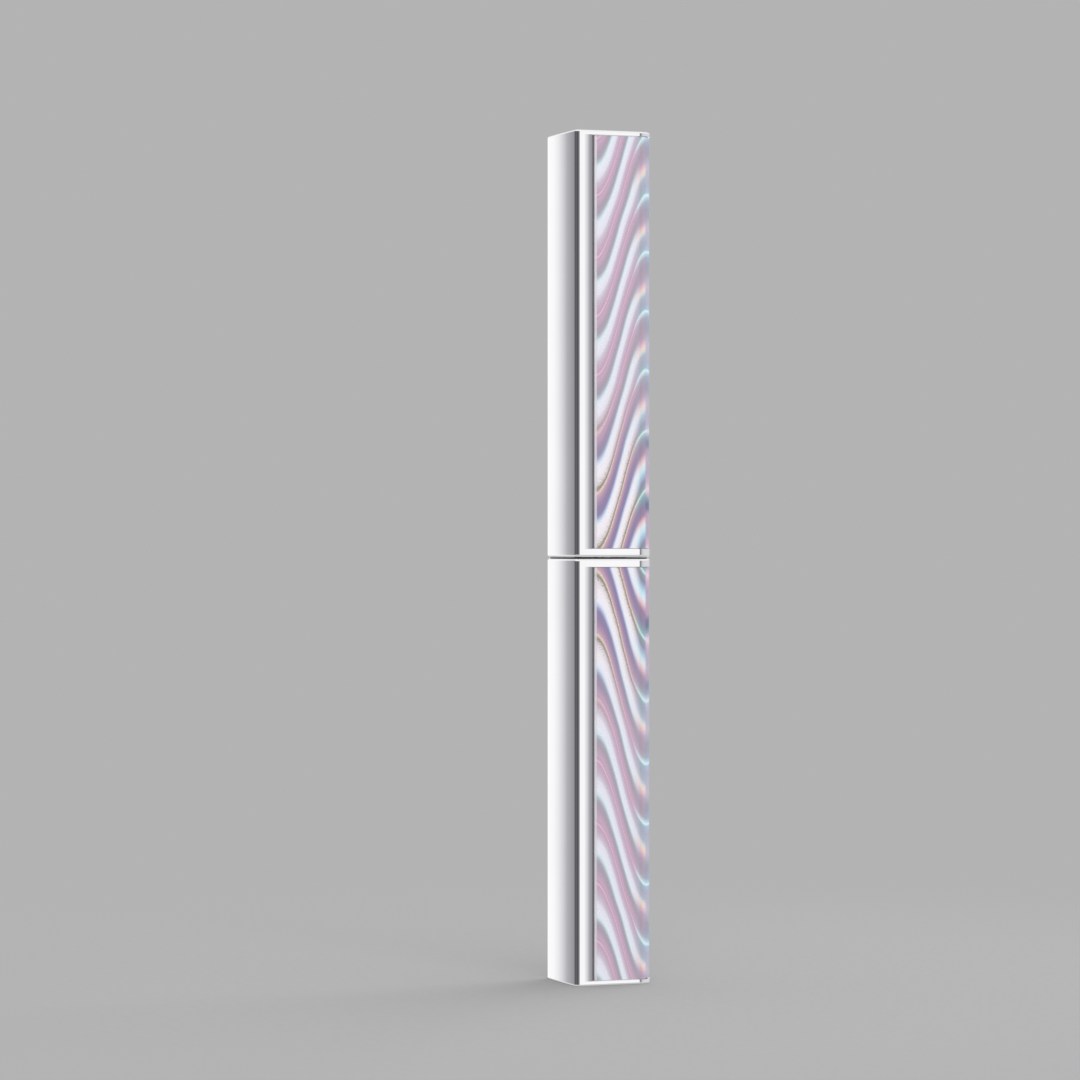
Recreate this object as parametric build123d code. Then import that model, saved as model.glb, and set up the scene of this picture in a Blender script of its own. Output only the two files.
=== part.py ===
"""Slim square lipstick case with a pull-off cap and a twist-up bullet. Millimetres.

Frame: the origin is the middle of the underside of the base, and +Z is up. The case is square in plan.
Its plain chrome spine faces +Y, and the C-shaped panel covers the -X, -Y and +X faces.
The case is shown closed, with the cap on and the bullet wound all the way down.

How it works: the base holds a nut with a two-start thread. The barrel and the tube turn in the base.
The push rod has two flats, so it turns with the barrel, climbs in the nut and lifts the cup.
"""

import os
from math import cos, radians, sin

from build123d import *

# ---- Case: overall sizes -------------------------------------------------------------------------
base_height = 52.6
cap_height = 52.6
seam_gap = 0.2  # daylight between base and cap when the cap is home
front_corner_radius = 2.0  # the two corners that the panel wraps
spine_corner_radius = 0.5  # the two corners beside the chrome spine
spine_crown = 0.1  # the spine bulges this much across its width
inner_corner_radius = 0.3  # least radius of a corner inside the shell
outer_edge_radius = 0.2  # the far ends of base and cap
seam_edge_radius = 0.3  # the two ends that meet at the seam, rolled a little

# ---- Shells and panels ---------------------------------------------------------------------------
shell_wall = 0.4  # under the panel
panel_thickness = 0.27
panel_recess = 0.08  # the panel lies this much below the rims
tape_thickness = 0.08  # black bonding tape under the panel, which shows in the groove
tape_edge_gap = 0.03
panel_bevel_width = 0.3  # along the two long edges of the panel
panel_bevel_depth = 0.12
panel_end_play = 0.08  # at the top and bottom of the panel
spine_strip = 2.25  # chrome kept on the two side faces, beside the spine
strip_roll_width = 1.0  # the strip eases down over this width towards the groove
strip_roll_drop = 0.05
groove_width = 0.35  # dark groove between that strip and the panel
seam_rim = 1.0  # chrome rim at the seam, and the roof of the base
end_rim = 0.55  # chrome rim at the far ends
end_plate_thickness = 1.0
insert_clearance = 0.05  # around what is pushed into a shell

# ---- Lipstick bullet and cup ---------------------------------------------------------------------
bullet_diameter = 5.8
bullet_root_step = 0.15  # the root is this much smaller all round
bullet_tip_slope = 0.315  # rise over run of the slanted tip
bullet_edge_radius = 0.5
bullet_tip_depth = 1.5  # middle of the tip below the middle of the tube's mouth, wound down
cup_wall = 0.3
cup_floor = 0.8
cup_depth = 4.0  # inside, above the floor
root_clearance = 0.05  # around the root of the bullet and under it
turns_of_travel = 5  # whole turns, so the mouth ends up as it began
tip_gap_in_tube = 0.15  # around the cup

# ---- Tube, collar and rings ----------------------------------------------------------------------
tube_wall = 0.35
tube_gap_in_cap = 1.8  # above the highest point of the mouth
mouth_slope = 0.485  # rise over run, low towards +X
mouth_edge_radius = 0.1
barrel_fit = 0.05  # between the barrel and what is bonded around it
collar_wall = 0.5
collar_height = 3.47
collar_top_chamfer = 0.15
bump_height = 0.3
bump_diameter = 1.05
bump_level = 2.3  # above the base
bump_angles = (-73, 47, 167)
washer_thickness = 0.12
washer_inset = 0.35  # from the sides of the base
washer_clearance = 0.06  # between the washer and the collar
washer_bore_clearance = 0.2
seal_height = 1.1
seal_wall = 0.48
seal_edge_radius = 0.2
seal_groove_depth = 0.25
seal_side_gap = 0.02

# ---- Barrel and its seat in the base -------------------------------------------------------------
barrel_bore_clearance = 0.45  # around the push rod
barrel_below_base_top = 6.6
barrel_above_seal = 5.25
barrel_turning_clearance = 0.15
guide_length = 5.0  # height of the part with the double-D hole
roof_hole_clearance = 0.3
ring_groove_depth = 0.55
ring_thickness = 0.5
ring_side_gap = 0.1
ring_radial_gap = 0.1
ring_reach_in_core = 0.25
ring_opening = 1.2
ring_above_barrel_end = 1.4
o_ring_section = 0.6
o_ring_below_base_top = 2.7
o_ring_bore_gap = 0.1
o_ring_groove_gap = 0.05

# ---- Thread --------------------------------------------------------------------------------------
rod_crest_radius = 1.5
rod_root_radius = 1.15
rod_flats = 2.0  # across the two flats
thread_starts = 2
thread_root_half_angle = 35  # half of one ridge at its root, seen along the axis
thread_crest_half_angle = 22
thread_radial_clearance = 0.1
thread_side_clearance = 8  # degrees, seen along the axis
key_clearance = 0.1
rod_head_diameter = 4.6
rod_head_thickness = 0.8
rod_head_gap = 0.3  # above the barrel, wound down
rod_peg_diameter = 2.0
rod_peg_length = 0.7
peg_clearance = 0.05
thread_beyond_nut = 0.5  # at each end of the travel, at least
rod_foot_room = 8.0  # under the rod, wound down

# ---- Nut, core, weight and label -----------------------------------------------------------------
nut_width = 5.0
nut_corner_radius = 0.8
nut_height = 6.0
nut_clearance = 0.05
nut_below_barrel = 3.0
core_shelf = 2.0  # the floor that the nut stands on
core_roof_gap = 0.05
core_skirt_wall = 0.6
rod_passage_diameter = 4.4
weight_height = 17.0
label_diameter = 6.4
label_thickness = 0.08
label_pocket_depth = 0.12
label_pocket_clearance = 0.1

# ---- Cap liner -----------------------------------------------------------------------------------
liner_bore_clearance = 0.1  # around the collar
liner_wall = 0.52  # where the round bore comes nearest to a flat side
liner_mouth_depth = 0.5  # above the cap's open end
liner_ceiling = 0.8
liner_slot_width = 1.5
liner_slot_above_bump = 0.8
liner_top_gap = 0.05

# ---- Worked out from the sizes above, from the bullet outwards -----------------------------------
bullet_root_radius = bullet_diameter / 2 - bullet_root_step
cup_radius = bullet_root_radius + root_clearance + cup_wall
tube_bore = cup_radius + tip_gap_in_tube
tube_radius = tube_bore + tube_wall
barrel_radius = tube_bore - barrel_fit
barrel_bore = rod_crest_radius + barrel_bore_clearance
collar_radius = tube_bore + collar_wall
liner_bore = collar_radius + liner_bore_clearance

panel_depth = panel_recess + panel_thickness + tape_thickness
cavity_inset = panel_depth + shell_wall
core_inset = cavity_inset + insert_clearance
side = 2 * (liner_bore + liner_wall + core_inset)  # width of the square case, face to face
groove_edge = side / 2 - spine_strip
panel_edge = groove_edge - groove_width

roof_level = base_height - seam_rim
collar_foot = base_height + washer_thickness + washer_clearance
collar_top = collar_foot + collar_height
tube_foot = collar_top + seal_height
barrel_foot = base_height - barrel_below_base_top
barrel_top = tube_foot + barrel_above_seal
guide_foot = barrel_top - guide_length

nut_top = barrel_foot - nut_below_barrel
nut_foot = nut_top - nut_height
thread_foot = end_plate_thickness + rod_foot_room
bullet_travel = nut_foot - thread_beyond_nut - thread_foot  # all that the base has room for
lead = bullet_travel / turns_of_travel
thread_pitch = lead / thread_starts
thread_segments = int((nut_top + thread_beyond_nut - thread_foot) / thread_pitch) + 1
thread_top = thread_foot + thread_segments * thread_pitch

core_bore = barrel_radius + barrel_turning_clearance
core_foot = end_plate_thickness + weight_height
ring_level = barrel_foot + ring_above_barrel_end

cap_foot = base_height + seam_gap
cap_top = cap_foot + cap_height
liner_foot = cap_foot + liner_mouth_depth
liner_top = cap_top - end_plate_thickness - liner_top_gap
liner_bore_top = liner_top - liner_ceiling
mouth_level = liner_bore_top - tube_gap_in_cap - mouth_slope * tube_radius

rod_shoulder = barrel_top + rod_head_gap + rod_head_thickness
cup_top = rod_shoulder + cup_floor + cup_depth
tip_level = mouth_level - bullet_tip_depth

FAR = 4 * side  # large enough to cut right through


def case_outline(inset):
    """The case's square, moved in by a distance. The front corners are round, the spine's nearly sharp."""
    width = side - 2 * inset
    outline = Rectangle(width, width)
    spine_radius = max(spine_corner_radius - inset, inner_corner_radius)
    front_radius = max(front_corner_radius - inset, inner_corner_radius)
    outline = fillet(outline.vertices().sort_by(Axis.Y)[-2:], spine_radius)
    return fillet(outline.vertices().sort_by(Axis.Y)[:2], front_radius)


def shell_outline():
    """The outside of a shell in plan, with the spine slightly crowned."""
    half = side / 2
    shoulder = half - spine_crown
    spine = ThreePointArc((-half, shoulder), (0, half), (half, shoulder))
    other_sides = Polyline((half, shoulder), (half, -half), (-half, -half), (-half, shoulder))
    outline = make_face(spine + other_sides)
    outline = fillet(outline.vertices().sort_by(Axis.Y)[-2:], spine_corner_radius)
    return fillet(outline.vertices().sort_by(Axis.Y)[:2], front_corner_radius)


def prism(outline, foot, top):
    """An outline raised from one level to another."""
    return extrude(Pos(0, 0, foot) * outline, top - foot)


def disc(radius, foot, top):
    """A round bar between two levels."""
    return prism(Circle(radius), foot, top)


def ring(outer_radius, inner_radius, foot, top):
    """A round sleeve between two levels."""
    return prism(Circle(outer_radius) - Circle(inner_radius), foot, top)


def in_front_of(edge):
    """Everything on the panel's side of a line along X."""
    return Pos(0, edge - FAR / 2, 0) * Rectangle(FAR, FAR)


def outer_edges(solid, level):
    """The outermost loop of edges at a level."""
    face = solid.faces().filter_by(Axis.Z).sort_by(lambda f: abs(f.center().Z - level))[0]
    return face.outer_wire().edges()


# ---- Shells, panels and end plates ---------------------------------------------------------------
def strip_rolls():
    """The slivers taken off the two chrome strips, so that they ease down towards the groove."""
    roll_radius = (strip_roll_width**2 + strip_roll_drop**2) / (2 * strip_roll_drop)
    roll_top = groove_edge + strip_roll_width
    sliver = Pos(side / 2, roll_top - strip_roll_width / 2) * Rectangle(1, strip_roll_width)
    sliver -= Pos(side / 2 - roll_radius, roll_top) * Circle(roll_radius)
    return sliver + mirror(sliver, Plane.YZ)


def shell(foot, top, pocket_foot, pocket_top, low_radius, high_radius):
    """A square tube with a pocket for the panel on three of its sides, and rounded ends."""
    body = prism(shell_outline(), foot, top)
    body = fillet(outer_edges(body, foot), low_radius)
    body = fillet(outer_edges(body, top), high_radius)
    pocket = (Rectangle(FAR, FAR) - case_outline(panel_depth)) & in_front_of(groove_edge)
    body -= prism(pocket, pocket_foot, pocket_top)
    return body - prism(strip_rolls(), pocket_foot, pocket_top)


def panel(pocket_foot, pocket_top):
    """The C-shaped panel that lies in a pocket, with its two long edges bevelled."""
    channel = case_outline(panel_recess) - case_outline(panel_recess + panel_thickness)
    channel = channel & in_front_of(panel_edge)
    face = side / 2 - panel_recess
    bevel_start = (face - panel_bevel_depth, panel_edge)
    bevel_end = (face, panel_edge - panel_bevel_width)
    bevel = make_face(Polyline(bevel_start, bevel_end, (face, panel_edge), close=True))
    channel -= bevel + mirror(bevel, Plane.YZ)
    return prism(channel, pocket_foot + panel_end_play, pocket_top - panel_end_play)


def panel_tape(pocket_foot, pocket_top):
    """The thin tape between a panel and its pocket. It reaches past the panel, into the groove."""
    channel = case_outline(panel_recess + panel_thickness) - case_outline(panel_depth)
    channel = channel & in_front_of(groove_edge - tape_edge_gap)
    return prism(channel, pocket_foot + tape_edge_gap, pocket_top - tape_edge_gap)


def end_plate(foot, top):
    """A plate that closes the far end of a shell."""
    return prism(case_outline(core_inset), foot, top)


def make_base_shell():
    body = shell(0, base_height, end_rim, roof_level, outer_edge_radius, seam_edge_radius)
    body -= prism(case_outline(cavity_inset), 0, roof_level)
    return body - disc(barrel_radius + roof_hole_clearance, 0, base_height)


def make_base_panel():
    return panel(end_rim, roof_level)


def make_base_panel_tape():
    return panel_tape(end_rim, roof_level)


def make_base_end_plate():
    pocket = disc(label_diameter / 2 + label_pocket_clearance, 0, label_pocket_depth)
    return end_plate(0, end_plate_thickness) - pocket


def make_shade_label():
    return disc(label_diameter / 2, label_pocket_depth - label_thickness, label_pocket_depth)


def make_cap_shell():
    pocket_foot = cap_foot + seam_rim
    pocket_top = cap_top - end_rim
    body = shell(cap_foot, cap_top, pocket_foot, pocket_top, seam_edge_radius, outer_edge_radius)
    return body - prism(case_outline(cavity_inset), cap_foot, cap_top)


def make_cap_panel():
    return panel(cap_foot + seam_rim, cap_top - end_rim)


def make_cap_panel_tape():
    return panel_tape(cap_foot + seam_rim, cap_top - end_rim)


def make_cap_top_plate():
    return end_plate(cap_top - end_plate_thickness, cap_top)


def make_cap_liner():
    """Square outside, round inside, with three slots that let the collar's bumps in."""
    body = prism(case_outline(core_inset), liner_foot, liner_top)
    body -= disc(liner_bore, liner_foot, liner_bore_top)
    slot_top = base_height + bump_level + bump_diameter / 2 + liner_slot_above_bump
    slot_height = slot_top - liner_foot
    for angle in bump_angles:
        slot = Pos(side / 2, 0, liner_foot + slot_height / 2) * Box(side, liner_slot_width, slot_height)
        body -= Rot(0, 0, angle) * slot
    return body


# ---- Inside the base -----------------------------------------------------------------------------
def make_base_weight():
    return prism(case_outline(core_inset) - Circle(rod_passage_diameter / 2), end_plate_thickness, core_foot)


def make_base_core():
    """Fills the shell above the weight. It holds the nut, and the barrel turns in it."""
    body = prism(case_outline(core_inset), core_foot, roof_level - core_roof_gap)
    skirt_bore = side / 2 - core_inset - core_skirt_wall
    body -= disc(skirt_bore, core_foot, nut_foot - core_shelf)
    body -= disc(rod_passage_diameter / 2, core_foot, nut_top)
    body -= prism(nut_outline(nut_clearance), nut_foot, nut_top)
    body -= disc(core_bore, nut_top, roof_level)
    groove_radius = core_bore + ring_reach_in_core
    return body - disc(groove_radius, ring_level - ring_side_gap, ring_level + ring_thickness + ring_side_gap)


def nut_outline(clearance):
    width = nut_width + 2 * clearance
    return RectangleRounded(width, width, nut_corner_radius)


def make_retaining_ring():
    """An open snap ring, seated in the core's groove and reaching into the barrel's."""
    outer = core_bore + ring_reach_in_core - insert_clearance
    inner = barrel_radius - ring_groove_depth + ring_radial_gap
    body = ring(outer, inner, ring_level, ring_level + ring_thickness)
    gap = Pos(0, side / 2, ring_level + ring_thickness / 2) * Box(ring_opening, side, 2 * ring_thickness)
    return body - gap


def make_thrust_washer():
    plate = case_outline(washer_inset) - Circle(barrel_radius + washer_bore_clearance)
    return prism(plate, base_height, base_height + washer_thickness)


# ---- Thread: nut and push rod --------------------------------------------------------------------
def thread_section(root, crest, root_half_angle, crest_half_angle):
    """What a flat cut across the thread shows: a round core with one ridge for each start."""

    def at(radius, angle):
        return (radius * cos(radians(angle)), radius * sin(radians(angle)))

    foot = root / 2
    below = [at(foot, -root_half_angle), at(root, -root_half_angle), at(crest, -crest_half_angle)]
    above = [(x, -y) for x, y in reversed(below)]
    top = ThreePointArc(below[-1], (crest, 0), above[0])
    ridge = make_face(Polyline(*below) + top + Polyline(*above) + Line(above[-1], below[0]))
    section = Circle(root)
    for start in range(thread_starts):
        section += Rot(0, 0, 360 * start / thread_starts) * ridge
    return section


def thread(section, foot, segments):
    """A right-hand thread, in segments one pitch high that follow on from each other."""
    step = Solid.extrude_linear_with_rotation(
        section.face(), (0, 0, 0), (0, 0, thread_pitch), 360 / thread_starts
    )
    return [Pos(0, 0, foot + count * thread_pitch) * step for count in range(segments)]


def double_d(radius, across_flats):
    """A circle with two flats, which face +Y and -Y."""
    return Circle(radius) & Rectangle(2 * radius, across_flats)


def make_push_rod():
    section = thread_section(
        rod_root_radius, rod_crest_radius, thread_root_half_angle, thread_crest_half_angle
    )
    slab = prism(double_d(2 * rod_crest_radius, rod_flats), thread_foot, thread_top)
    threaded = Part() + [turn & slab for turn in thread(section, thread_foot, thread_segments)]
    shank = prism(double_d(rod_crest_radius, rod_flats), thread_top, rod_shoulder)
    head = disc(rod_head_diameter / 2, rod_shoulder - rod_head_thickness, rod_shoulder)
    peg = disc(rod_peg_diameter / 2, rod_shoulder, rod_shoulder + rod_peg_length)
    return threaded + shank + head + peg


def make_drive_nut():
    section = thread_section(
        rod_root_radius + thread_radial_clearance,
        rod_crest_radius + thread_radial_clearance,
        thread_root_half_angle + thread_side_clearance,
        thread_crest_half_angle + thread_side_clearance,
    )
    segments_below = int((nut_foot - thread_foot) / thread_pitch)
    first = thread_foot + segments_below * thread_pitch
    count = int((nut_top - first) / thread_pitch) + 1
    body = prism(nut_outline(0), nut_foot, nut_top)
    for turn in thread(section, first, count):
        body -= turn
    return body


# ---- Turning parts: barrel, rings, collar and tube -----------------------------------------------
def make_guide_barrel():
    """Turns in the core, carries the collar, seal and tube, and keys the push rod."""
    body = disc(barrel_radius, barrel_foot, barrel_top)
    body -= disc(barrel_bore, barrel_foot, guide_foot)
    key = double_d(rod_crest_radius + key_clearance, rod_flats + 2 * key_clearance)
    body -= prism(key, guide_foot, barrel_top)
    ring_groove = barrel_radius - ring_groove_depth
    body -= ring(
        FAR, ring_groove, ring_level - ring_side_gap, ring_level + ring_thickness + ring_side_gap
    )
    o_ring_level = base_height - o_ring_below_base_top
    groove_half = o_ring_section / 2 + o_ring_groove_gap
    o_ring_groove = core_bore - o_ring_bore_gap - o_ring_section - o_ring_groove_gap
    body -= ring(FAR, o_ring_groove, o_ring_level - groove_half, o_ring_level + groove_half)
    return body - ring(FAR, barrel_radius - seal_groove_depth, collar_top, tube_foot)


def make_friction_ring():
    middle = core_bore - o_ring_bore_gap - o_ring_section / 2
    return Pos(0, 0, base_height - o_ring_below_base_top) * Torus(middle, o_ring_section / 2)


def make_collar():
    """A plated sleeve with three bumps pressed out of it."""
    body = disc(collar_radius, collar_foot, collar_top)
    body = chamfer(outer_edges(body, collar_top), collar_top_chamfer)
    ball_radius = (bump_height**2 + (bump_diameter / 2) ** 2) / (2 * bump_height)
    ball_place = collar_radius + bump_height - ball_radius
    for angle in bump_angles:
        ball = Pos(ball_place, 0, base_height + bump_level) * Sphere(ball_radius)
        body += Rot(0, 0, angle) * ball
    return body - disc(tube_bore, collar_foot, collar_top)


def make_seal_ring():
    inner = barrel_radius - seal_groove_depth + seal_side_gap
    foot = collar_top + seal_side_gap
    top = tube_foot - seal_side_gap
    body = ring(inner + seal_wall, inner, foot, top)
    rims = outer_edges(body, foot) + outer_edges(body, top)
    return fillet(rims, seal_edge_radius)


def slanted_block(level, slope):
    """Everything above a plane that passes through the axis at a level and is low towards +X."""
    reach = FAR
    corners = [
        (-reach, level + slope * reach),
        (reach, level - slope * reach),
        (reach, level + slope * reach + reach),
        (-reach, level + slope * reach + reach),
    ]
    profile = Plane.XZ * make_face(Polyline(*corners, close=True))
    return extrude(profile, reach, both=True)


def make_tube():
    body = ring(tube_radius, tube_bore, tube_foot, mouth_level + side)
    body -= slanted_block(mouth_level, mouth_slope)
    lip = body.faces().sort_by(Axis.Z)[-1]
    return fillet(lip.edges(), mouth_edge_radius)


# ---- Cup and bullet ------------------------------------------------------------------------------
def make_bullet_cup():
    body = disc(cup_radius, rod_shoulder, cup_top)
    body -= disc(cup_radius - cup_wall, rod_shoulder + cup_floor, cup_top)
    return body - disc(rod_peg_diameter / 2 + peg_clearance, rod_shoulder, rod_shoulder + cup_floor)


def make_bullet():
    """A wax stick with a narrower root and a slanted, softly rounded tip."""
    root_foot = rod_shoulder + cup_floor + root_clearance
    body_foot = cup_top + root_clearance
    stick = disc(bullet_diameter / 2, body_foot, tip_level + side)
    stick -= slanted_block(tip_level, bullet_tip_slope)
    tip = stick.faces().sort_by(Axis.Z)[-1]
    stick = fillet(tip.edges(), bullet_edge_radius)
    return stick + disc(bullet_root_radius, root_foot, body_foot)


pieces = {
    "base_shell": make_base_shell,
    "base_panel": make_base_panel,
    "base_panel_tape": make_base_panel_tape,
    "base_end_plate": make_base_end_plate,
    "shade_label": make_shade_label,
    "base_weight": make_base_weight,
    "base_core": make_base_core,
    "drive_nut": make_drive_nut,
    "retaining_ring": make_retaining_ring,
    "thrust_washer": make_thrust_washer,
    "guide_barrel": make_guide_barrel,
    "friction_ring": make_friction_ring,
    "collar": make_collar,
    "seal_ring": make_seal_ring,
    "tube": make_tube,
    "push_rod": make_push_rod,
    "bullet_cup": make_bullet_cup,
    "bullet": make_bullet,
    "cap_shell": make_cap_shell,
    "cap_panel": make_cap_panel,
    "cap_panel_tape": make_cap_panel_tape,
    "cap_liner": make_cap_liner,
    "cap_top_plate": make_cap_top_plate,
}

os.makedirs("parts", exist_ok=True)
for name, make in pieces.items():
    export_step(make(), f"parts/{name}.step")
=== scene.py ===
import math

import bmesh
import bpy
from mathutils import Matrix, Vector


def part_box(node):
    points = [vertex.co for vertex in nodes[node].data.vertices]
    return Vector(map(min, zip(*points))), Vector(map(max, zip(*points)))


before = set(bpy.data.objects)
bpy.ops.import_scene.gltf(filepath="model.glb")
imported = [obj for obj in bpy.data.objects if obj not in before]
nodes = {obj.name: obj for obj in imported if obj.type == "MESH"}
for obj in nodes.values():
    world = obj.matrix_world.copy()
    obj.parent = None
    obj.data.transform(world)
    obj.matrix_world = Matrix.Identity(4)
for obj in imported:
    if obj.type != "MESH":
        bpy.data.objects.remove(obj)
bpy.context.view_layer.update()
mm = 0.001
scene = bpy.context.scene


# ---- Camera ------------------------------------------------------------------------------------------
# A long lens on a level tripod, at half the height of the closed case. It looks at the corner between
# the chrome spine, on the left, and the first face of the panel, on the right.
camera_azimuth = math.radians(-110.9)
camera_distance = 515 * mm
camera_back = Vector((math.sin(camera_azimuth), -math.cos(camera_azimuth), 0))
camera_aim = Vector((0, 0, 54.9 * mm))

camera = bpy.data.objects.new("camera", bpy.data.cameras.new("camera"))
scene.collection.objects.link(camera)
scene.camera = camera
camera.data.lens = 137.8
camera.data.sensor_width = 36
camera.data.shift_x = -60 / 1080
camera.location = camera_aim + camera_back * camera_distance
camera.rotation_mode = "QUATERNION"
camera.rotation_quaternion = (-camera_back).to_track_quat("-Z", "Y")
scene.view_settings.view_transform = "Standard"


# ---- Studio walls ------------------------------------------------------------------------------------
# White and black boards stand around the case at its own height. Chrome has no colour of its own: the
# boards are what it shows. Above and below them the room is an even light grey.
def shade(tree, kind, feeds=None, out=0, **settings):
    """Adds a shader node, sets it up, feeds its inputs with numbers or sockets, and returns an output."""
    node = tree.nodes.new("ShaderNode" + kind)
    for key, value in settings.items():
        setattr(node, key, value)
    for place, value in (feeds or {}).items():
        if isinstance(value, bpy.types.NodeSocket):
            tree.links.new(value, node.inputs[place])
        else:
            node.inputs[place].default_value = value
    return node.outputs[out]


def work_out(tree, operation, *values):
    """One step of arithmetic on numbers or sockets."""
    return shade(tree, "Math", dict(enumerate(values)), operation=operation)


def ease(tree, value, start, end, low=0.0, high=1.0):
    """Goes smoothly from low to high as the value goes from start to end."""
    feeds = {0: value, 1: start, 2: end, 3: low, 4: high}
    return shade(tree, "MapRange", feeds, interpolation_type="SMOOTHSTEP")


def blend(tree, amount, first, second):
    """Mixes two colours."""
    return shade(tree, "Mix", {0: amount, 6: first, 7: second}, out=2, data_type="RGBA")


def ramp(tree, value, stops):
    """A run of colours along a value from 0 to 1."""
    node = tree.nodes.new("ShaderNodeValToRGB")
    points = node.color_ramp.elements
    points.remove(points[1])
    points[0].position = stops[0][0]
    points[0].color = (*stops[0][1], 1)
    for place, colour in stops[1:]:
        points.new(place).color = (*colour, 1)
    tree.links.new(value, node.inputs[0])
    return node.outputs[0]


board_levels = (  # the direction in degrees round the case, anticlockwise from +X, and the brightness
    (0, 1.05), (17.3, 1.05), (18.5, 0.97), (19.8, 0.86), (21, 0.7), (22.2, 0.5), (23, 0.36), (23.8, 0.26),
    (25, 0.12), (29, 0.085), (82, 0.085), (90, 0.35), (98, 0.085), (150, 0.1), (175, 0.2), (190, 0.36),
    (197, 0.72), (200.2, 1.0), (201.2, 1.0), (202.6, 0.9), (204.9, 0.66), (207.8, 0.42), (211, 0.24),
    (214, 0.26), (221, 0.62), (240, 0.7), (250, 0.72), (300, 0.72), (315, 0.42), (332, 0.85), (348, 1.05),
    (360, 1.05),
)
board_top = 0.16  # as the sine of the angle above the horizon
board_fade = 0.16
floor_light = 0.55  # brightness of the room far below and far above the case
ceiling_light = 0.95
backdrop_grey = 0.451

world = bpy.data.worlds.new("studio")
scene.world = world
world.use_nodes = True
tree = world.node_tree
direction = shade(tree, "TexCoord", out=0)
axes = tree.nodes.new("ShaderNodeSeparateXYZ")
tree.links.new(direction, axes.inputs[0])
turn = work_out(tree, "ARCTAN2", axes.outputs[1], axes.outputs[0])
turn = work_out(tree, "FRACT", work_out(tree, "DIVIDE", turn, math.tau))
greys = []
for angle, level in board_levels:
    dim = max(0, 1 - level)  # the dim parts of the boards look faintly violet
    greys.append((angle / 360, (level, level * (1 - 0.02 * dim), level * (1 + 0.09 * dim))))
boards = ramp(tree, turn, greys)
height = work_out(tree, "ABSOLUTE", axes.outputs[2])
beyond = ease(tree, height, board_top, board_top + board_fade)
room = ease(tree, axes.outputs[2], -0.9, 0.7, floor_light, ceiling_light)
seen_in_gloss = blend(tree, beyond, boards, room)
light_path = tree.nodes.new("ShaderNodeLightPath")
plain = (backdrop_grey, backdrop_grey, backdrop_grey, 1)
shown = blend(tree, light_path.outputs["Is Camera Ray"], seen_in_gloss, plain)
tree.links.new(shown, tree.nodes["Background"].inputs["Color"])


# ---- Floor -------------------------------------------------------------------------------------------
# A sheet of pale grey matt board. Away from the case it is lit evenly, so that it runs into the wall
# behind it without an edge.
floor_reach = 3.0
lit_reach = 0.04  # nearer than this the lamps light the board, and it takes the case's shadow
even_reach = 0.16  # beyond this it is as bright as the wall
mesh = bpy.data.meshes.new("studio_floor")
grid = bmesh.new()
bmesh.ops.create_grid(grid, x_segments=8, y_segments=8, size=floor_reach)
grid.to_mesh(mesh)
grid.free()
floor = bpy.data.objects.new("studio_floor", mesh)
scene.collection.objects.link(floor)
floor.location.z = -0.02 * mm
floor.visible_glossy = False


def new_finish(name):
    """A material, its node tree and its main shader."""
    finish = bpy.data.materials.new(name)
    finish.use_nodes = True
    return finish, finish.node_tree, finish.node_tree.nodes["Principled BSDF"]


floor_board, tree, board = new_finish("pale_matt_board")
board.inputs["Roughness"].default_value = 0.9
board.inputs["Specular IOR Level"].default_value = 0.1
place = shade(tree, "TexCoord", out=3)
fibre = shade(tree, "TexNoise", {"Vector": place, "Scale": 900.0, "Detail": 3.0})
paper = ramp(tree, fibre, ((0.0, (0.34, 0.34, 0.34)), (1.0, (0.37, 0.37, 0.37))))
tree.links.new(paper, board.inputs["Base Color"])
far = shade(tree, "VectorMath", {0: place}, out=1, operation="LENGTH")
evenly_lit = ease(tree, far, lit_reach, even_reach)
glow = shade(tree, "Emission", {0: plain, 1: 1.0})
surface = shade(tree, "MixShader", {0: evenly_lit, 1: board.outputs[0], 2: glow})
tree.links.new(surface, tree.nodes["Material Output"].inputs[0])
floor.data.materials.append(floor_board)


# ---- Lamps -------------------------------------------------------------------------------------------
# Two large soft boxes light the panels, one from the front and one from the side. They are kept out of
# reflections.
lamp_aim = Vector((0, 0, 50 * mm))


def soft_box(name, azimuth, height, distance, width, tall, power):
    """A soft box that faces the middle of the case."""
    lamp = bpy.data.objects.new(name, bpy.data.lights.new(name, "AREA"))
    scene.collection.objects.link(lamp)
    lamp.data.shape = "RECTANGLE"
    lamp.data.size = width
    lamp.data.size_y = tall
    lamp.data.energy = power
    angle = math.radians(azimuth)
    lamp.location = (distance * math.cos(angle), distance * math.sin(angle), height)
    lamp.rotation_mode = "QUATERNION"
    lamp.rotation_quaternion = (lamp_aim - lamp.location).to_track_quat("-Z", "Y")
    lamp.visible_camera = False
    return lamp


box_distance = 0.9
box_size = 0.8
for name, azimuth, height, power in (("front_box", 172, 0.3, 6.5), ("side_box", 300, 0.35, 6.0)):
    box = soft_box(name, azimuth, height, box_distance, box_size, box_size, power)
    box.visible_glossy = False

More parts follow.
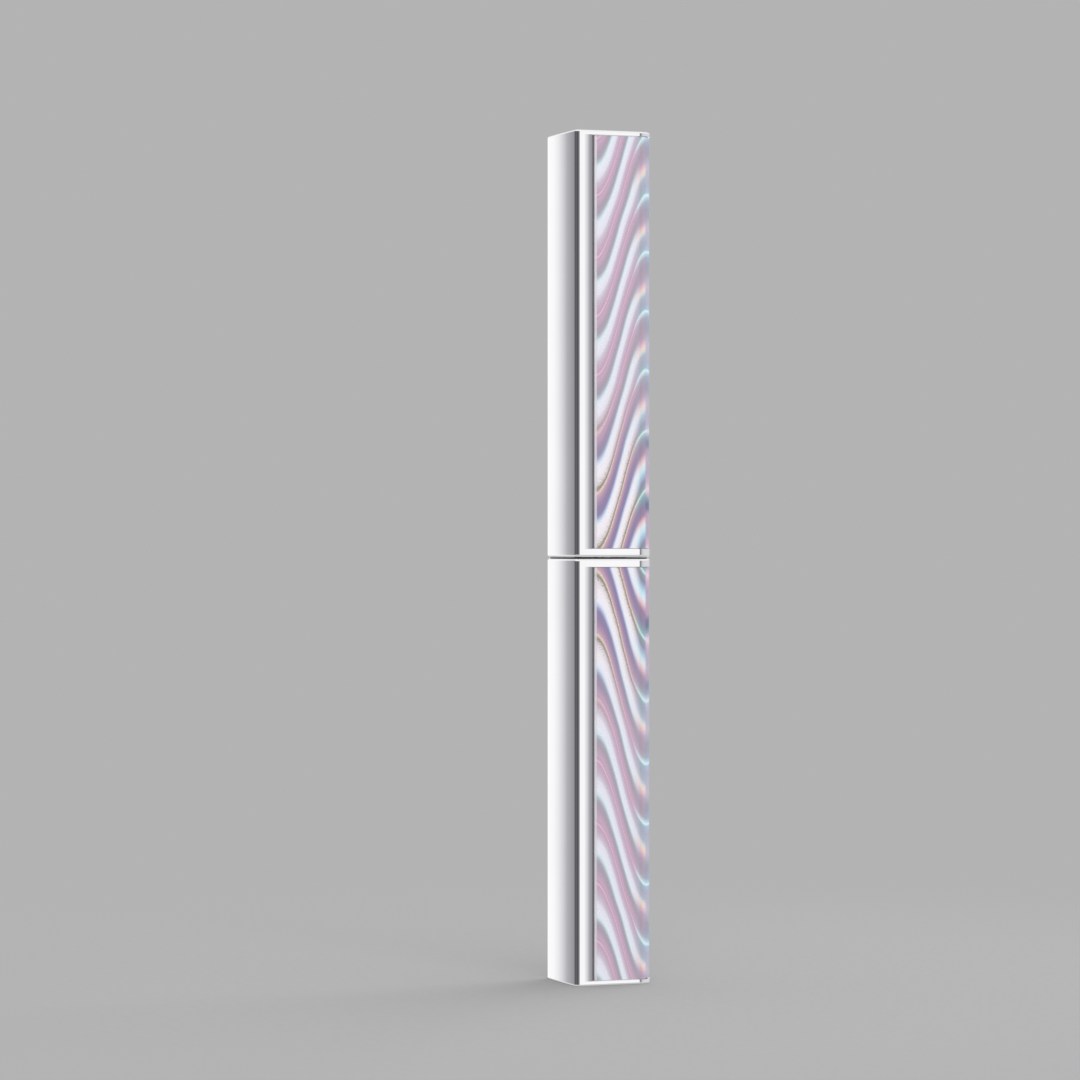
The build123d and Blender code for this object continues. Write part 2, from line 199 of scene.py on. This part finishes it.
# Narrow boards for the round parts alone: each shows as one upright stripe in the tube and the collar.
round_parts = bpy.data.collections.new("round_parts")
for name in ("tube", "collar", "seal_ring"):
    round_parts.objects.link(nodes[name])
strip_distance = 0.6
strip_middle_height = 0.05
strip_height = 1.2
for name, start, end, level in (  # start and end in degrees round the case
    ("strip_edge", 36, 48, 0.6),
    ("strip_left", 79, 136, 0.9),
    ("strip_middle", 149, 166, 1.0),
    ("strip_right", 173, 197, 0.95),
    ("strip_fill", 208, 223, 0.35),
):
    width = 2 * strip_distance * math.tan(math.radians((end - start) / 2))
    middle = (start + end) / 2
    power = level * math.pi * width * strip_height
    strip = soft_box(name, middle, strip_middle_height, strip_distance, width, strip_height, power)
    strip.light_linking.receiver_collection = round_parts


# ---- Case shells -------------------------------------------------------------------------------------
# Two square tubes pressed from aluminium sheet, polished and plated with bright chrome. Each has a
# shallow pocket for its panel on three sides. The plating has faint hairlines from wiping and a few
# smudges from fingers.
def dress(finish, *pieces):
    """Gives a finish to pieces that keep their own shape."""
    for piece in pieces:
        nodes[piece].data.materials.clear()
        nodes[piece].data.materials.append(finish)


def scaled(tree, vector, x, y, z):
    """Squeezes or stretches a place along each axis."""
    return shade(tree, "VectorMath", {0: vector, 1: (x, y, z)}, operation="MULTIPLY")


bright_chrome, tree, metal = new_finish("bright_chrome")
metal.inputs["Metallic"].default_value = 1.0
place = shade(tree, "TexCoord", out=3)
clouds = shade(tree, "TexNoise", {"Vector": place, "Scale": 90.0, "Detail": 2.0})
plating = ramp(tree, clouds, ((0.3, (0.93, 0.93, 0.942)), (0.7, (0.955, 0.955, 0.965))))
tree.links.new(plating, metal.inputs["Base Color"])
smudges = shade(tree, "TexNoise", {"Vector": place, "Scale": 130.0, "Detail": 5.0, "Distortion": 0.6})
tree.links.new(ease(tree, smudges, 0.5, 0.8, 0.018, 0.06), metal.inputs["Roughness"])
hairline_place = scaled(tree, place, 9000, 9000, 120)
hairlines = shade(tree, "TexNoise", {"Vector": hairline_place, "Scale": 1.0, "Detail": 2.0})
hairline_bump = {"Height": ease(tree, hairlines, 0.62, 0.8), "Strength": 0.02, "Distance": 0.000002}
tree.links.new(shade(tree, "Bump", hairline_bump), metal.inputs["Normal"])
dress(bright_chrome, "base_shell", "cap_shell")


# ---- Holographic panels ------------------------------------------------------------------------------
# Each panel is a thin strip of clear plastic bent round three sides of the case, with a holographic
# film behind it. The film's wavy stripes start at the seam, and the cap's film roughly mirrors the
# base's.
# The film's colour changes with the view. Here it is fixed in the base colour, with its highlights, glints,
# reflections and shade painted in as they look from one side of each face.
def linear(red, green, blue):
    """A colour given as 0 to 255 on screen, as light."""
    return tuple(((c / 255 + 0.055) / 1.055) ** 2.4 if c > 10 else c / 3295 for c in (red, green, blue))


def coloured(stops):
    """Turns the colours of a run of stops into light."""
    return [(place, linear(*colour)) for place, colour in stops]


panel_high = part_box("base_panel")[1]
panel_half = panel_high.x / mm  # from the middle of the case to the panel's face
panel_edge = panel_high.y / mm  # the panel's long edge, beside the groove
corner_radius = 1.92  # of the panel's face, where it bends round a corner
corner_centre = panel_half - corner_radius
front_flat = panel_edge + corner_centre
bend = corner_radius * math.pi / 2
across = 2 * (front_flat + bend + corner_centre)  # from edge to edge, round the case

# What one stripe looks like from one side to the other, as places from 0 to 1 and colours on screen. Each run
# is the film as it looked from one side: its pattern with painted highlights, glints, reflections and shade.
front_stripes = coloured((
    (0.0, (172, 167, 181)), (0.10, (178, 162, 178)), (0.25, (204, 174, 196)), (0.30, (198, 164, 188)),
    (0.335, (230, 196, 212)), (0.37, (200, 166, 190)), (0.48, (204, 182, 202)), (0.56, (208, 200, 214)),
    (0.65, (233, 230, 240)), (0.82, (234, 238, 248)), (0.89, (220, 234, 242)), (0.94, (190, 201, 208)),
    (1.0, (172, 167, 181)),
))
# Near the seam the front run is stronger: deeper painted shade and brighter painted highlights, over the
# film's own stronger colour.
front_stripes_at_seam = coloured((
    (0.0, (142, 134, 172)), (0.12, (150, 132, 166)), (0.25, (182, 150, 178)), (0.33, (206, 172, 182)),
    (0.375, (244, 226, 212)), (0.41, (180, 164, 146)), (0.44, (140, 142, 128)), (0.48, (204, 198, 190)),
    (0.53, (238, 228, 234)), (0.70, (248, 242, 247)), (0.84, (240, 241, 251)), (0.90, (206, 214, 236)),
    (0.955, (160, 164, 204)), (1.0, (142, 134, 172)),
))
# Where the stripes peak near the corner: painted glints, cyan and peach, over the film's stripes.
stripe_tip_glints = coloured((
    (0.0, (184, 165, 183)), (0.12, (178, 164, 180)), (0.24, (180, 176, 190)), (0.30, (204, 214, 224)),
    (0.35, (222, 250, 250)), (0.40, (168, 190, 202)), (0.52, (176, 180, 196)), (0.63, (184, 190, 204)),
    (0.71, (222, 226, 228)), (0.77, (248, 220, 206)), (0.83, (232, 196, 206)), (0.91, (194, 172, 192)),
    (1.0, (184, 165, 183)),
))
# On the rounded corner: the stripes with painted reflections, lilac and blue-grey.
bend_stripes_and_reflections = coloured((
    (0.0, (163, 165, 184)), (0.12, (158, 165, 188)), (0.25, (162, 180, 206)), (0.31, (186, 212, 234)),
    (0.35, (222, 250, 254)), (0.39, (178, 198, 226)), (0.50, (178, 182, 206)), (0.70, (190, 187, 206)),
    (0.80, (197, 191, 211)), (0.92, (178, 180, 196)), (1.0, (163, 165, 184)),
))
# The same near the seam, with stronger painted glints.
stripe_tip_glints_at_seam = coloured((
    (0.0, (160, 140, 168)), (0.14, (150, 136, 166)), (0.24, (140, 162, 176)), (0.31, (150, 190, 196)),
    (0.35, (214, 244, 238)), (0.39, (150, 168, 172)), (0.50, (146, 146, 170)), (0.58, (166, 190, 214)),
    (0.70, (206, 240, 250)), (0.80, (234, 240, 246)), (0.88, (240, 206, 206)), (0.95, (200, 160, 180)),
    (1.0, (160, 140, 168)),
))
# The same near the seam, with painted navy reflections.
bend_stripes_and_reflections_at_seam = coloured((
    (0.0, (186, 160, 186)), (0.08, (110, 118, 152)), (0.16, (96, 118, 146)), (0.24, (150, 160, 184)),
    (0.32, (226, 196, 222)), (0.38, (240, 214, 230)), (0.46, (212, 180, 206)), (0.62, (182, 166, 190)),
    (0.80, (186, 172, 194)), (0.92, (190, 164, 188)), (1.0, (186, 160, 186)),
))
# The side face's run: softer and paler, the film's pattern with the reflection seen from that side painted
# in.
side_stripes = coloured((
    (0.0, (198, 187, 196)), (0.12, (196, 183, 194)), (0.32, (204, 192, 201)), (0.40, (212, 202, 210)),
    (0.47, (238, 230, 236)), (0.60, (243, 237, 240)), (0.88, (240, 236, 242)), (0.96, (212, 204, 212)),
    (1.0, (198, 187, 196)),
))
# The back face's run: painted highlights on the bright lines and painted blue-violet shade beside them, over
# the film's stripes.
back_stripes = coloured((
    (0.0, (118, 124, 158)), (0.04, (146, 146, 178)), (0.25, (184, 178, 202)), (0.55, (203, 200, 218)),
    (0.74, (205, 202, 220)), (0.80, (158, 154, 176)), (0.85, (112, 108, 134)), (0.89, (150, 142, 166)),
    (0.93, (236, 232, 242)), (0.965, (214, 214, 232)), (1.0, (118, 124, 158)),
))


def place_on_panel(tree, seam_level, away):
    """How far a point of the panel lies round the case and from the seam, in mm. Round the case counts
    from the panel's edge on the -X face. Away is 1 above the seam and -1 below it."""
    axes = tree.nodes.new("ShaderNodeSeparateXYZ")
    tree.links.new(shade(tree, "TexCoord", out=3), axes.inputs[0])
    x, y, z = (work_out(tree, "DIVIDE", axis, mm) for axis in axes.outputs)
    from_seam = work_out(tree, "MULTIPLY", work_out(tree, "SUBTRACT", z, seam_level), away)

    # The side face, the rounded corner and half of the front face, one after the other.
    flat = work_out(tree, "MINIMUM", work_out(tree, "SUBTRACT", panel_edge, y), front_flat)
    x_size = work_out(tree, "ABSOLUTE", x)
    past_x = work_out(tree, "MAXIMUM", work_out(tree, "SUBTRACT", x_size, corner_centre), 0.0001)
    past_y = work_out(tree, "MAXIMUM", work_out(tree, "SUBTRACT", -corner_centre, y), 0.0)
    arc = work_out(tree, "MULTIPLY", work_out(tree, "ARCTAN2", past_y, past_x), corner_radius)
    front = work_out(tree, "MAXIMUM", work_out(tree, "SUBTRACT", corner_centre, x_size), 0.0)
    half_way = work_out(tree, "ADD", work_out(tree, "ADD", flat, arc), front)

    # The other half is the same, counted back from the far edge.
    on_far_half = work_out(tree, "GREATER_THAN", x, 0.0)
    from_far_edge = work_out(tree, "SUBTRACT", across, half_way)
    difference = work_out(tree, "SUBTRACT", from_far_edge, half_way)
    return work_out(tree, "MULTIPLY_ADD", on_far_half, difference, half_way), from_seam


def stripe_phase(tree, round_case, from_seam, sheet_place, first_row, row_density, row_growth):
    """Where a point lies within its stripe, from 0 to 1. Rows are stripes counted from the seam."""
    wander_size = 1.6  # mm, a slow wander, as if the waves were drawn by hand
    wander = shade(tree, "TexNoise", {"Vector": sheet_place, "Scale": 0.13, "Detail": 1.0})
    wander = work_out(tree, "SUBTRACT", wander, 0.5)
    wandered = work_out(tree, "MULTIPLY_ADD", wander, wander_size, from_seam)
    growth = work_out(tree, "MULTIPLY_ADD", wandered, row_growth, row_density)
    rows = work_out(tree, "MULTIPLY_ADD", wandered, growth, first_row)

    # The wave: it runs away from the seam across the first face, as half of a cosine, and turns on the
    # corner.
    turn_place = 7.0
    half_swing = 1.035  # in rows
    swing = work_out(tree, "MINIMUM", round_case, turn_place)
    swing = work_out(tree, "COSINE", work_out(tree, "DIVIDE", swing, turn_place / math.pi))
    outward = work_out(tree, "MULTIPLY_ADD", swing, -half_swing, half_swing)

    # Then it comes back more and more steeply, runs straight to a sharp peak, and falls away again.
    steep_place = 9.8  # past the turn
    peak_place = 15.95
    curve_size = 0.0144
    curve_power = 2.9
    rise = 3.1  # mm up the case for each mm round it
    fall = -5.0
    mm_in_row = 7.35
    past_turn = work_out(tree, "MAXIMUM", work_out(tree, "SUBTRACT", round_case, turn_place), 0.0)
    curved = work_out(tree, "POWER", work_out(tree, "MINIMUM", past_turn, steep_place), curve_power)
    curved = work_out(tree, "MULTIPLY", curved, curve_size)
    up_to_peak = work_out(tree, "MINIMUM", past_turn, peak_place)
    steep = work_out(tree, "MAXIMUM", work_out(tree, "SUBTRACT", up_to_peak, steep_place), 0.0)
    after_peak = work_out(tree, "MAXIMUM", work_out(tree, "SUBTRACT", past_turn, peak_place), 0.0)
    back = work_out(tree, "MULTIPLY_ADD", steep, rise, curved)
    back = work_out(tree, "MULTIPLY_ADD", after_peak, fall, back)
    wave = work_out(tree, "SUBTRACT", outward, work_out(tree, "DIVIDE", back, mm_in_row))

    start_in_stripe = 0.333
    phase = work_out(tree, "ADD", work_out(tree, "SUBTRACT", rows, wave), start_in_stripe)
    return work_out(tree, "FRACT", phase)


def film_finish(name, seam_level, away, first_row, row_density, row_growth):
    """The finish of one panel."""
    finish, tree, film = new_finish(name)
    round_case, from_seam = place_on_panel(tree, seam_level, away)
    sheet_place = shade(tree, "CombineXYZ", {0: round_case, 1: from_seam, 2: 0.0})
    phase = stripe_phase(tree, round_case, from_seam, sheet_place, first_row, row_density, row_growth)

    # The colours of the stripes change round the case, each face with its own run: the film's colour with the
    # highlights, glints, reflections and shade it shows from one side painted in. They grow stronger towards
    # the seam, partly in the film's own colour and partly in painted shade and glints.
    near_seam = ease(tree, from_seam, 6.0, 24.0, 1.0, 0.0)
    colour = ramp(tree, phase, front_stripes)
    colour = blend(tree, near_seam, colour, ramp(tree, phase, front_stripes_at_seam))
    # Painted glints at the stripe tips beside the corner, then painted reflections on the bend.
    tips = blend(tree, near_seam, ramp(tree, phase, stripe_tip_glints), ramp(tree, phase, stripe_tip_glints_at_seam))
    colour = blend(tree, ease(tree, round_case, 4.8, 6.3), colour, tips)
    bends = blend(tree, near_seam, ramp(tree, phase, bend_stripes_and_reflections), ramp(tree, phase, bend_stripes_and_reflections_at_seam))
    colour = blend(tree, ease(tree, round_case, 6.6, 7.1), colour, bends)
    colour = blend(tree, ease(tree, round_case, 7.7, 9.0), colour, ramp(tree, phase, side_stripes))
    colour = blend(tree, ease(tree, round_case, 17.0, 20.3), colour, ramp(tree, phase, back_stripes))

    # Glitter: fine flecks all over, and coarse golden-brown ones beside each thin line near the seam.
    grain = shade(tree, "TexNoise", {"Vector": sheet_place, "Scale": 7.0, "Detail": 3.0, "Roughness": 0.7})
    fleck_level = ease(tree, grain, 0.3, 0.7, 0.9, 1.08)
    colour = shade(tree, "VectorMath", {0: colour, 3: fleck_level}, operation="SCALE")
    coarse = shade(tree, "TexNoise", {"Vector": sheet_place, "Scale": 5.5, "Detail": 2.0, "Roughness": 0.8})
    flecked = work_out(
        tree, "MULTIPLY", ease(tree, phase, 0.3, 0.4), ease(tree, phase, 0.5, 0.66, 1.0, 0.0)
    )
    flecked = work_out(tree, "MULTIPLY", flecked, near_seam)
    flecked = work_out(tree, "MULTIPLY", flecked, ease(tree, coarse, 0.52, 0.62, 0.0, 0.7))
    flecked = work_out(tree, "MULTIPLY", flecked, ease(tree, round_case, 4.8, 5.8, 1.0, 0.0))
    colour = blend(tree, flecked, colour, (*linear(132, 108, 104), 1))

    # The bevelled edge of the clear plastic is painted near-white: a painted highlight where it catches the
    # light.
    from_far_edge = work_out(tree, "SUBTRACT", across, round_case)
    from_edge = work_out(tree, "MINIMUM", round_case, from_far_edge)
    painted_edge_highlight = ease(tree, from_edge, 0.2, 0.34, 0.75, 0.0)
    colour = blend(tree, painted_edge_highlight, colour, (*linear(244, 240, 246), 1))
    tree.links.new(colour, film.inputs["Base Color"])
    film.inputs["Metallic"].default_value = 0.35
    film.inputs["Roughness"].default_value = 0.3
    film.inputs["Coat Weight"].default_value = 0.3
    film.inputs["Coat Roughness"].default_value = 0.06
    relief = shade(tree, "Bump", {"Height": grain, "Strength": 0.05, "Distance": 0.00002})
    tree.links.new(relief, film.inputs["Normal"])
    return finish


base_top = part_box("base_shell")[1].z / mm
cap_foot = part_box("cap_shell")[0].z / mm

# The first row, then how many rows there are to a mm, then how much that grows with each mm.
base_film = film_finish("holographic_film_of_base", base_top, -1, -0.12, 0.1215, 0.00018)
cap_film = film_finish("holographic_film_of_cap", cap_foot, 1, 0, 0.1328, 0.00006)
dress(base_film, "base_panel")
dress(cap_film, "cap_panel")


# ---- Panel tapes -------------------------------------------------------------------------------------
# Thin charcoal foam tape, which bonds each panel into its pocket and shows as a dark line in the groove.
foam_tape, tree, foam = new_finish("charcoal_foam_tape")
place = shade(tree, "TexCoord", out=3)
cells = shade(tree, "TexVoronoi", {"Vector": place, "Scale": 9000.0})
foam_grey = ramp(tree, cells, ((0.0, (0.07, 0.07, 0.076)), (0.6, (0.14, 0.14, 0.15))))
tree.links.new(foam_grey, foam.inputs["Base Color"])
tree.links.new(ease(tree, cells, 0.0, 0.6, 0.75, 0.6), foam.inputs["Roughness"])
cell_bump = {"Height": cells, "Strength": 0.3, "Distance": 0.00002}
tree.links.new(shade(tree, "Bump", cell_bump), foam.inputs["Normal"])
dress(foam_tape, "base_panel_tape", "cap_panel_tape")


# ---- End plates --------------------------------------------------------------------------------------
# Two chromed plates, turned on a lathe and pressed into the shells: one closes the base from below and
# one closes the cap. The lathe left faint rings round the middle.
def rings(tree, place, per_mm):
    """Fine turning marks round the Z axis, as a height from -1 to 1."""
    flat = scaled(tree, place, 1, 1, 0)
    radius = shade(tree, "VectorMath", {0: flat}, out=1, operation="LENGTH")
    waver = shade(tree, "TexNoise", {"Vector": flat, "Scale": 400.0, "Detail": 2.0})
    marks = work_out(tree, "MULTIPLY_ADD", radius, per_mm * math.tau / mm, waver)
    return work_out(tree, "SINE", marks)


turned_chrome, tree, metal = new_finish("turned_chrome")
metal.inputs["Metallic"].default_value = 1.0
place = shade(tree, "TexCoord", out=3)
clouds = shade(tree, "TexNoise", {"Vector": place, "Scale": 250.0, "Detail": 3.0})
plating = ramp(tree, clouds, ((0.3, (0.88, 0.88, 0.9)), (0.7, (0.93, 0.93, 0.94))))
tree.links.new(plating, metal.inputs["Base Color"])
tree.links.new(ease(tree, clouds, 0.35, 0.75, 0.1, 0.2), metal.inputs["Roughness"])
ring_bump = {"Height": rings(tree, place, 6), "Strength": 0.08, "Distance": 0.00001}
tree.links.new(shade(tree, "Bump", ring_bump), metal.inputs["Normal"])
dress(turned_chrome, "base_end_plate", "cap_top_plate")


# ---- Shade label -------------------------------------------------------------------------------------
# A blank round paper sticker under the base. Its edge has yellowed a little and picked up dirt.
label_paper, tree, paper = new_finish("label_paper")
place = shade(tree, "TexCoord", out=3)
fibres = shade(tree, "TexNoise", {"Vector": scaled(tree, place, 2500, 900, 900), "Scale": 1.0, "Detail": 4.0})
paper_white = ramp(tree, fibres, ((0.3, (0.72, 0.71, 0.68)), (0.7, (0.83, 0.82, 0.8))))
radius = shade(tree, "VectorMath", {0: scaled(tree, place, 1, 1, 0)}, out=1, operation="LENGTH")
label_radius = (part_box("shade_label")[1].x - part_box("shade_label")[0].x) / 2
dirty = ease(tree, radius, label_radius - 0.4 * mm, label_radius, 0.0, 0.6)
tree.links.new(blend(tree, dirty, paper_white, (0.45, 0.42, 0.35, 1)), paper.inputs["Base Color"])
tree.links.new(ease(tree, fibres, 0.3, 0.7, 0.5, 0.65), paper.inputs["Roughness"])
fibre_bump = {"Height": fibres, "Strength": 0.15, "Distance": 0.00001}
tree.links.new(shade(tree, "Bump", fibre_bump), paper.inputs["Normal"])
dress(label_paper, "shade_label")


# ---- Base weight -------------------------------------------------------------------------------------
# A plug of free-cutting steel, turned and left plain, which gives the base its heft.
turned_steel, tree, metal = new_finish("turned_steel")
metal.inputs["Metallic"].default_value = 1.0
place = shade(tree, "TexCoord", out=3)
clouds = shade(tree, "TexNoise", {"Vector": place, "Scale": 350.0, "Detail": 4.0})
steel_grey = ramp(tree, clouds, ((0.3, (0.42, 0.41, 0.4)), (0.7, (0.55, 0.54, 0.53))))
tree.links.new(steel_grey, metal.inputs["Base Color"])
tree.links.new(ease(tree, clouds, 0.3, 0.8, 0.28, 0.45), metal.inputs["Roughness"])
ring_bump = {"Height": rings(tree, place, 4), "Strength": 0.3, "Distance": 0.00002}
tree.links.new(shade(tree, "Bump", ring_bump), metal.inputs["Normal"])
dress(turned_steel, "base_weight")


# ---- Mechanism mouldings -----------------------------------------------------------------------------
# Core, barrel, push rod and cup are moulded in natural white acetal. They have the soft even sheen of
# a fine spark-eroded mould, with a trace of grease on them.
def moulding(name, low_colour, high_colour, low_roughness, high_roughness):
    """A moulded plastic with a faint flow pattern and a fine mould grain."""
    finish, tree, plastic = new_finish(name)
    place = shade(tree, "TexCoord", out=3)
    flow = shade(tree, "TexNoise", {"Vector": scaled(tree, place, 220, 220, 60), "Scale": 1.0, "Detail": 3.0})
    tone = ramp(tree, flow, ((0.3, low_colour), (0.7, high_colour)))
    tree.links.new(tone, plastic.inputs["Base Color"])
    tree.links.new(ease(tree, flow, 0.3, 0.75, high_roughness, low_roughness), plastic.inputs["Roughness"])
    grain = shade(tree, "TexNoise", {"Vector": place, "Scale": 6000.0, "Detail": 2.0})
    grain_bump = {"Height": grain, "Strength": 0.12, "Distance": 0.00001}
    tree.links.new(shade(tree, "Bump", grain_bump), plastic.inputs["Normal"])
    return finish


white_acetal = moulding("white_acetal", (0.74, 0.73, 0.69), (0.82, 0.81, 0.78), 0.32, 0.45)
dress(white_acetal, "base_core", "guide_barrel", "push_rod", "bullet_cup")


# ---- Drive nut ---------------------------------------------------------------------------------------
# Moulded in grey acetal with a dry lubricant in it, for a smooth two-start thread.
dress(moulding("grey_acetal", (0.36, 0.37, 0.38), (0.44, 0.45, 0.46), 0.35, 0.5), "drive_nut")


# ---- Retaining ring ----------------------------------------------------------------------------------
# An open snap ring of hardened spring wire, blued by its heat treatment.
spring_steel, tree, metal = new_finish("spring_steel")
metal.inputs["Metallic"].default_value = 1.0
place = shade(tree, "TexCoord", out=3)
scale_marks = shade(tree, "TexNoise", {"Vector": place, "Scale": 900.0, "Detail": 4.0})
blued = ramp(tree, scale_marks, ((0.35, (0.2, 0.21, 0.24)), (0.65, (0.36, 0.35, 0.34))))
tree.links.new(blued, metal.inputs["Base Color"])
tree.links.new(ease(tree, scale_marks, 0.3, 0.7, 0.25, 0.42), metal.inputs["Roughness"])
dress(spring_steel, "retaining_ring")


# ---- Thrust washer -----------------------------------------------------------------------------------
# A square gasket stamped from dark filled plastic sheet. It lies on the roof of the base, and it is the
# thin dark line between base and cap.
dress(moulding("dark_sheet", (0.03, 0.03, 0.033), (0.05, 0.05, 0.054), 0.5, 0.65), "thrust_washer")


# ---- Friction ring -----------------------------------------------------------------------------------
# A silicone O-ring, milky and slightly greasy.
dress(moulding("milky_silicone", (0.56, 0.57, 0.57), (0.64, 0.65, 0.65), 0.25, 0.4), "friction_ring")


# ---- Collar and tube ---------------------------------------------------------------------------------
# Both are deep-drawn from thin sheet and chromed. Drawing left faint upright lines, and the cap's liner
# has rubbed them here and there.
drawn_chrome, tree, metal = new_finish("drawn_chrome")
metal.inputs["Metallic"].default_value = 1.0
place = shade(tree, "TexCoord", out=3)
clouds = shade(tree, "TexNoise", {"Vector": place, "Scale": 140.0, "Detail": 3.0})
plating = ramp(tree, clouds, ((0.3, (0.92, 0.92, 0.935)), (0.7, (0.955, 0.955, 0.965))))
tree.links.new(plating, metal.inputs["Base Color"])
draw_place = scaled(tree, place, 5000, 5000, 60)
draw_lines = shade(tree, "TexNoise", {"Vector": draw_place, "Scale": 1.0, "Detail": 3.0})
tree.links.new(ease(tree, draw_lines, 0.4, 0.8, 0.025, 0.07), metal.inputs["Roughness"])
draw_bump = {"Height": draw_lines, "Strength": 0.02, "Distance": 0.000002}
tree.links.new(shade(tree, "Bump", draw_bump), metal.inputs["Normal"])
dress(drawn_chrome, "tube", "collar")


# ---- Seal ring ---------------------------------------------------------------------------------------
# A glossy black moulded ring, snapped into its groove above the collar. Taking the cap off and on has
# dulled it in places.
glossy_black, tree, plastic = new_finish("glossy_black")
place = shade(tree, "TexCoord", out=3)
rubbed = shade(tree, "TexNoise", {"Vector": place, "Scale": 500.0, "Detail": 3.0})
black = ramp(tree, rubbed, ((0.4, (0.008, 0.008, 0.01)), (0.8, (0.02, 0.02, 0.022))))
tree.links.new(black, plastic.inputs["Base Color"])
tree.links.new(ease(tree, rubbed, 0.45, 0.8, 0.05, 0.22), plastic.inputs["Roughness"])
dress(glossy_black, "seal_ring")


# ---- Bullet ------------------------------------------------------------------------------------------
# Cast red lipstick. It left the mould with an even satin skin, a little cloudy, with a few fine specks
# of pigment.
red_wax, tree, wax = new_finish("red_wax")
place = shade(tree, "TexCoord", out=3)
bloom = shade(tree, "TexNoise", {"Vector": place, "Scale": 260.0, "Detail": 4.0})
red = ramp(tree, bloom, ((0.3, (0.17, 0.004, 0.004)), (0.75, (0.21, 0.009, 0.008))))
specks = shade(tree, "TexNoise", {"Vector": place, "Scale": 4000.0, "Detail": 1.0})
speckled = ease(tree, specks, 0.68, 0.76, 0.0, 0.4)
tree.links.new(blend(tree, speckled, red, (0.08, 0.002, 0.003, 1)), wax.inputs["Base Color"])
wax.inputs["Specular IOR Level"].default_value = 0.35
tree.links.new(ease(tree, bloom, 0.3, 0.75, 0.24, 0.36), wax.inputs["Roughness"])
wax_bump = {"Height": bloom, "Strength": 0.08, "Distance": 0.00005}
tree.links.new(shade(tree, "Bump", wax_bump), wax.inputs["Normal"])
dress(red_wax, "bullet")


# ---- Cap liner ---------------------------------------------------------------------------------------
# A dark moulded sleeve inside the cap, which grips the collar's bumps.
dress(moulding("dark_moulding", (0.035, 0.035, 0.038), (0.05, 0.05, 0.054), 0.38, 0.52), "cap_liner")
